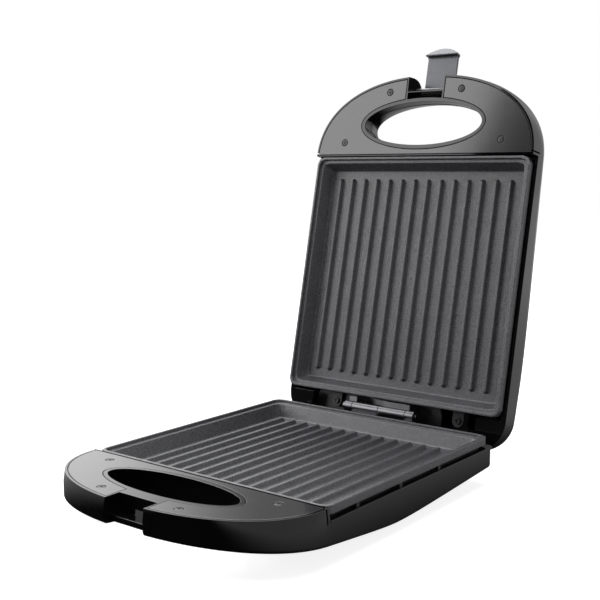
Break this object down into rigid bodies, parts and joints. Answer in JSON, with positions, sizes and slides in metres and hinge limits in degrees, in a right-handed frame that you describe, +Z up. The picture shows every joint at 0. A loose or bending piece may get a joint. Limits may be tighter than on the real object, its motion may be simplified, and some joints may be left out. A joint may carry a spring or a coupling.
{
  "type": "sandwich toaster",
  "caption": "Countertop sandwich press with two ribbed grill plates, loop handles, a hinged lid that stands open and a front latch.",
  "frame": {"origin": "centre of the whole open toaster's box, on the surface that it stands on", "axes": "+Z up, -Y towards the handles and the user, +X to the user's right"},
  "size_m": [0.2486, 0.4416, 0.3965],
  "materials": {
    "housing_plastic": "high-gloss black moulded plastic",
    "panel_plastic": "satin dark-grey metallic inlay",
    "nonstick_plate": "cast aluminium with a dark-grey non-stick coat",
    "latch_metal": "satin dark-grey metallic with fine horizontal brushing",
    "hinge_metal": "satin zinc-plated steel",
    "bracket_metal": "dark-grey stamped steel",
    "screw_steel": "zinc-plated screw steel",
    "sheet_steel": "bright aluminised sheet steel",
    "element_steel": "heat-tinted steel tube",
    "ceramic": "off-white heat-proof insulating material",
    "foot_rubber": "matt black rubber",
    "gland_rubber": "matt black rubber",
    "red_lens": "clear red lens",
    "green_lens": "clear green lens",
    "lamp_glass": "clear glass envelope"
  },
  "bodies": {
    "base": {"base_housing": "housing_plastic", "base_handle_panel": "panel_plastic", "base_panel_screws": "screw_steel", "base_grill_plate": "nonstick_plate", "base_heating_element": "element_steel", "base_element_clamps": "sheet_steel", "base_reflector": "sheet_steel", "base_reflector_screws": "screw_steel", "base_case_screws": "screw_steel", "base_feet": "foot_rubber", "base_hinge_leaf": "hinge_metal", "base_hinge_screws": "screw_steel", "hinge_pin": "hinge_metal", "thermostat": "sheet_steel", "thermal_fuse": "ceramic", "terminal_block": "ceramic", "cord_gland": "gland_rubber"},
    "lid": {"lid_housing": "housing_plastic", "lid_handle_panel": "panel_plastic", "lid_panel_screws": "screw_steel", "lid_grill_plate": "nonstick_plate", "lid_heating_element": "element_steel", "lid_element_clamps": "sheet_steel", "lid_reflector": "sheet_steel", "lid_reflector_screws": "screw_steel", "lid_plate_tabs": "hinge_metal", "lid_tab_screws": "screw_steel", "lid_hinge_bracket": "bracket_metal", "lid_bracket_screws": "screw_steel", "lid_hinge_leaf": "hinge_metal", "lid_thermal_fuse": "ceramic", "power_lamp_lens": "red_lens", "ready_lamp_lens": "green_lens", "lamp_holder": "ceramic", "neon_lamps": "lamp_glass", "latch_pin": "screw_steel"},
    "latch": {"latch": "latch_metal"}
  },
  "joints": [
    {"name": "lid_hinge", "type": "hinge", "parent": "base", "child": "lid", "pos_m": [0, 0.11345, 0.0449], "axis": [1, 0, 0], "range_deg": [0, 102.5]},
    {"name": "latch_pivot", "type": "hinge", "parent": "lid", "child": "latch", "pos_m": [0, 0.1993, 0.35313], "axis": [1, 0, 0], "range_deg": [0, 90]}
  ]
}
